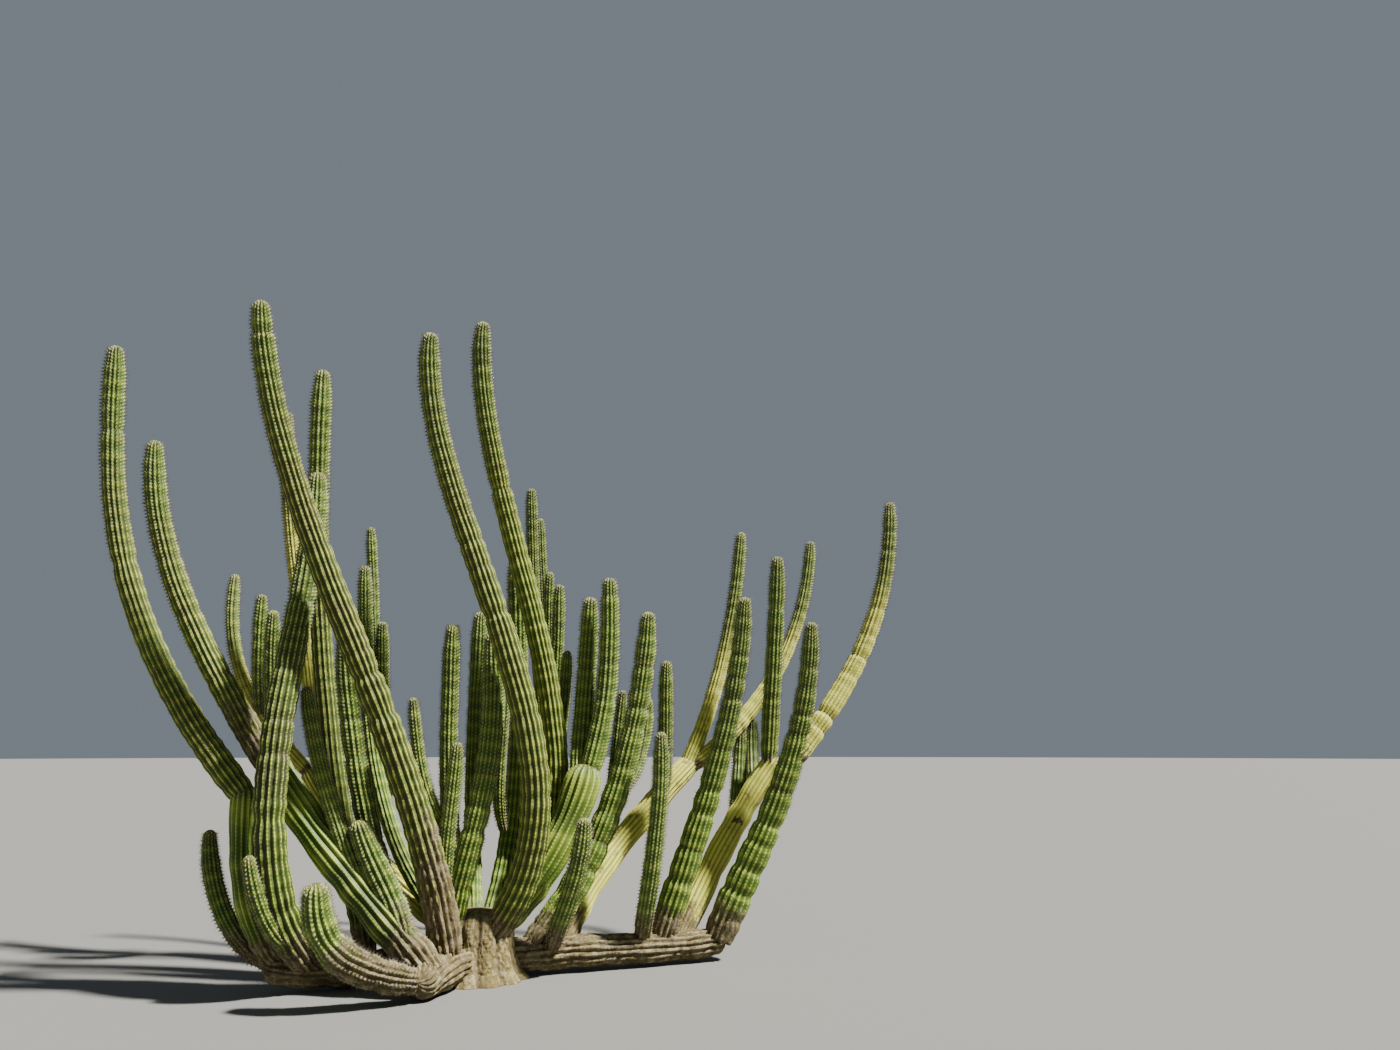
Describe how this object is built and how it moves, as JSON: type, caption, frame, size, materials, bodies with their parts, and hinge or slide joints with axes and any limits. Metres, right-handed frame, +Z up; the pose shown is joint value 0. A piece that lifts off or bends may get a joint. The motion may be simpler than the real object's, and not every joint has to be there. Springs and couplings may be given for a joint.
{
  "type": "organ pipe cactus",
  "caption": "Old organ pipe cactus: tall ribbed stems rising in a broad candelabra from one low crown at ground level.",
  "frame": {"origin": "middle of the flat cut under the crown, at ground level", "axes": "+Z up; -Y towards the side that the picture shows; +X to that viewer's right"},
  "size_m": [5.4515, 2.9195, 4.49],
  "materials": {
    "crown_bark": "rough, dry, grooved cork",
    "old_skin": "dull olive to tan corky skin with spines along the ribs",
    "green_skin": "waxy matt green skin with spines along the ribs"
  },
  "bodies": {
    "root": {"crown": "crown_bark", "left_low_bough": "old_skin", "left_fork_bough": "old_skin", "front_low_bough": "old_skin", "near_bough": "old_skin", "right_low_bough": "old_skin", "right_inner_bough": "old_skin", "right_back_bough": "old_skin", "right_outer_bough": "old_skin", "back_left_bough": "old_skin", "back_bough": "old_skin", "left_outer_stem": "green_skin", "left_second_stem": "green_skin", "left_front_stem": "green_skin", "tallest_stem": "green_skin", "left_inner_stem": "green_skin", "left_back_stem": "green_skin", "left_thin_stem": "green_skin", "left_short_stem": "green_skin", "left_side_stem": "green_skin", "left_front_stub": "green_skin", "left_outer_stub": "green_skin", "inner_stem": "green_skin", "inner_dome": "green_skin", "inner_lit_stem": "green_skin", "near_low_stem": "green_skin", "middle_tall_stem": "green_skin", "middle_second_stem": "green_skin", "middle_inner_stem": "green_skin", "middle_left_stem": "green_skin", "middle_left_back_stem": "green_skin", "middle_fork_stem": "green_skin", "middle_side_stem": "green_skin", "middle_curved_stem": "green_skin", "middle_thin_stem": "green_skin", "middle_back_stem": "green_skin", "middle_far_stem": "green_skin", "middle_back_thin_stem": "green_skin", "middle_back_inner_stem": "green_skin", "middle_back_low_stem": "green_skin", "back_left_stem": "green_skin", "back_left_short_stem": "green_skin", "back_left_far_stem": "green_skin", "right_pair_short_stem": "green_skin", "right_pair_tall_stem": "green_skin", "right_low_stub": "green_skin", "right_leaning_stem": "green_skin", "right_leaning_side_stem": "green_skin", "right_back_thin_stem": "green_skin", "right_back_short_stem": "green_skin", "right_front_stem": "green_skin", "right_upright_stem": "green_skin", "right_forked_stem": "green_skin", "right_outer_stem": "green_skin", "right_back_tall_stem": "green_skin", "right_back_curved_stem": "green_skin", "right_bough_stem": "green_skin", "right_hidden_stem": "green_skin", "right_hidden_back_stem": "green_skin"}
  },
  "joints": []
}
